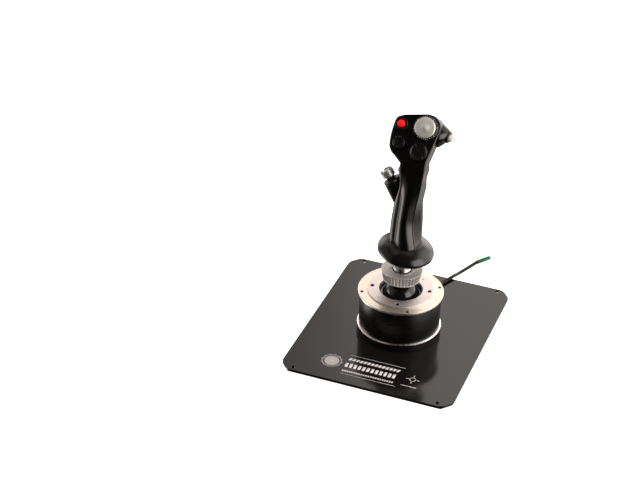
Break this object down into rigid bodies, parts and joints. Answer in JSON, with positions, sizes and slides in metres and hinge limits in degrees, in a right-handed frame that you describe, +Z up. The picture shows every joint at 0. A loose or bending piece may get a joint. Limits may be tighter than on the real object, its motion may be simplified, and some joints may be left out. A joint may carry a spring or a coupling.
{
  "type": "flight joystick",
  "caption": "Desk flight joystick: a steel plate, a round metal base with a ball gimbal, and a leaning pistol grip with hats, buttons and a trigger.",
  "frame": {"origin": "on the desk, under the axis of the round base, at the centre of the plate", "axes": "+Z up, +Y away from the pilot, +X to the pilot's right"},
  "size_m": [0.225, 0.3477, 0.3025],
  "materials": {
    "barrel_black": "black anodised, semi-gloss",
    "board_green": "circuit board",
    "button_red": "satin red",
    "cap_green": "glossy green",
    "cord_black": "satin",
    "gloss_black": "glossy black",
    "grip_black": "black paint, satin gloss",
    "hat_silver": "matt silver",
    "magnet": "nickel plated",
    "plate_black": "satin black paint",
    "rubber": "matt",
    "satin_aluminium": "satin",
    "steel": "machined",
    "turned_aluminium": "turned, bright"
  },
  "bodies": {
    "base": {"base_plate": "plate_black", "rubber_foot_1": "rubber", "rubber_foot_2": "rubber", "rubber_foot_3": "rubber", "rubber_foot_4": "rubber", "foot_ring": "barrel_black", "barrel": "barrel_black", "top_flange": "turned_aluminium", "clamp_ring": "satin_aluminium", "socket_cup": "gloss_black", "flange_screw_1": "steel", "flange_screw_2": "steel", "flange_screw_3": "steel", "flange_screw_4": "steel", "clamp_screw_1": "steel", "clamp_screw_2": "steel", "clamp_screw_3": "steel", "clamp_screw_4": "steel", "gimbal_post": "satin_aluminium", "return_spring": "steel", "controller_board": "board_green", "pitch_sensor_board": "board_green", "strain_relief": "rubber", "cord_lead": "cord_black", "cord_coil": "cord_black", "cord_tie": "rubber", "cord_run": "cord_black", "plug_body": "cap_green", "plug_shell": "steel"},
    "gimbal_cross": {"gimbal_cross": "steel", "pitch_magnet": "magnet", "roll_magnet": "magnet"},
    "stick": {"stick_shaft": "barrel_black", "ball_dome": "gloss_black", "roll_sensor_board": "board_green", "grip_hub": "steel", "neck_disc": "gloss_black", "hand_rest": "gloss_black", "grip_shell": "grip_black", "front_cover": "grip_black", "grip_board": "board_green", "trim_hat_bezel": "grip_black", "side_bezel": "barrel_black", "cms_collar": "grip_black", "trigger_pin": "steel", "pinky_pin": "steel"},
    "locking_ring": {"locking_ring": "satin_aluminium"},
    "trim_hat_cross": {"trim_hat_cross": "steel"},
    "trim_hat": {"trim_hat": "hat_silver"},
    "left_hat_cross": {"left_hat_cross": "steel"},
    "left_hat": {"left_hat": "grip_black"},
    "right_hat_cross": {"right_hat_cross": "steel"},
    "right_hat": {"right_hat": "grip_black"},
    "cms_hat_cross": {"cms_hat_cross": "steel"},
    "cms_hat": {"cms_hat": "hat_silver"},
    "thumb_button": {"thumb_button": "button_red"},
    "side_button": {"side_button": "hat_silver"},
    "pinky_button": {"pinky_button": "grip_black"},
    "trigger": {"trigger": "grip_black"},
    "pinky_lever": {"pinky_lever": "grip_black"}
  },
  "joints": [
    {"name": "pitch", "type": "hinge", "parent": "base", "child": "gimbal_cross", "pos_m": [0, 0, 0.056], "axis": [1, 0, 0], "range_deg": [-18, 18], "stiffness_Nm_per_rad": 5},
    {"name": "roll", "type": "hinge", "parent": "gimbal_cross", "child": "stick", "pos_m": [0, 0, 0.056], "axis": [0, 1, 0], "range_deg": [-18, 18], "stiffness_Nm_per_rad": 5, "deforming": ["return_spring"]},
    {"name": "locking_ring_turn", "type": "hinge", "parent": "stick", "child": "locking_ring", "pos_m": [0, 0, 0.09], "axis": [0, 0, 1], "range_deg": [0, 330]},
    {"name": "trim_hat_up_down", "type": "hinge", "parent": "stick", "child": "trim_hat_cross", "pos_m": [0.01106, 0.02974, 0.28458], "axis": [0.9701, 0.2129, 0.1167], "range_deg": [-8, 8], "stiffness_Nm_per_rad": 0.15},
    {"name": "trim_hat_side_to_side", "type": "hinge", "parent": "trim_hat_cross", "child": "trim_hat", "pos_m": [0.01106, 0.02974, 0.28458], "axis": [-0.2129, 0.5147, 0.8305], "range_deg": [-8, 8], "stiffness_Nm_per_rad": 0.15},
    {"name": "left_hat_up_down", "type": "hinge", "parent": "stick", "child": "left_hat_cross", "pos_m": [-0.01665, 0.01412, 0.2667], "axis": [0.9701, 0.2129, 0.1167], "range_deg": [-8, 8], "stiffness_Nm_per_rad": 0.15},
    {"name": "left_hat_side_to_side", "type": "hinge", "parent": "left_hat_cross", "child": "left_hat", "pos_m": [-0.01665, 0.01412, 0.2667], "axis": [-0.2129, 0.5147, 0.8305], "range_deg": [-8, 8], "stiffness_Nm_per_rad": 0.15},
    {"name": "right_hat_up_down", "type": "hinge", "parent": "stick", "child": "right_hat_cross", "pos_m": [0.00885, 0.01309, 0.25966], "axis": [0.9701, 0.2129, 0.1167], "range_deg": [-8, 8], "stiffness_Nm_per_rad": 0.15},
    {"name": "right_hat_side_to_side", "type": "hinge", "parent": "right_hat_cross", "child": "right_hat", "pos_m": [0.00885, 0.01309, 0.25966], "axis": [-0.2129, 0.5147, 0.8305], "range_deg": [-8, 8], "stiffness_Nm_per_rad": 0.15},
    {"name": "cms_hat_up_down", "type": "hinge", "parent": "stick", "child": "cms_hat_cross", "pos_m": [-0.02017, 0.008, 0.21422], "axis": [0.8211, 0, 0.5708], "range_deg": [-8, 8], "stiffness_Nm_per_rad": 0.15},
    {"name": "cms_hat_side_to_side", "type": "hinge", "parent": "cms_hat_cross", "child": "cms_hat", "pos_m": [-0.02017, 0.008, 0.21422], "axis": [0, 1, 0], "range_deg": [-8, 8], "stiffness_Nm_per_rad": 0.15},
    {"name": "thumb_button_press", "type": "slide", "parent": "stick", "child": "thumb_button", "axis": [-0.1167, 0.8305, -0.5446], "range_m": [0, 0.002], "stiffness_N_per_m": 300},
    {"name": "side_button_press", "type": "slide", "parent": "stick", "child": "side_button", "axis": [-0.9701, 0.194, 0.1455], "range_m": [0, 0.002], "stiffness_N_per_m": 300},
    {"name": "pinky_button_press", "type": "slide", "parent": "stick", "child": "pinky_button", "axis": [0, -0.9903, 0.1392], "range_m": [0, 0.0015], "stiffness_N_per_m": 300},
    {"name": "trigger_pull", "type": "hinge", "parent": "stick", "child": "trigger", "pos_m": [-0.0025, 0.0432, 0.2539], "axis": [-1, 0, 0], "range_deg": [0, 12], "stiffness_Nm_per_rad": 1},
    {"name": "pinky_lever_pull", "type": "hinge", "parent": "stick", "child": "pinky_lever", "pos_m": [0, 0.0252, 0.144], "axis": [1, 0, 0], "range_deg": [0, 6], "stiffness_Nm_per_rad": 1.5}
  ]
}
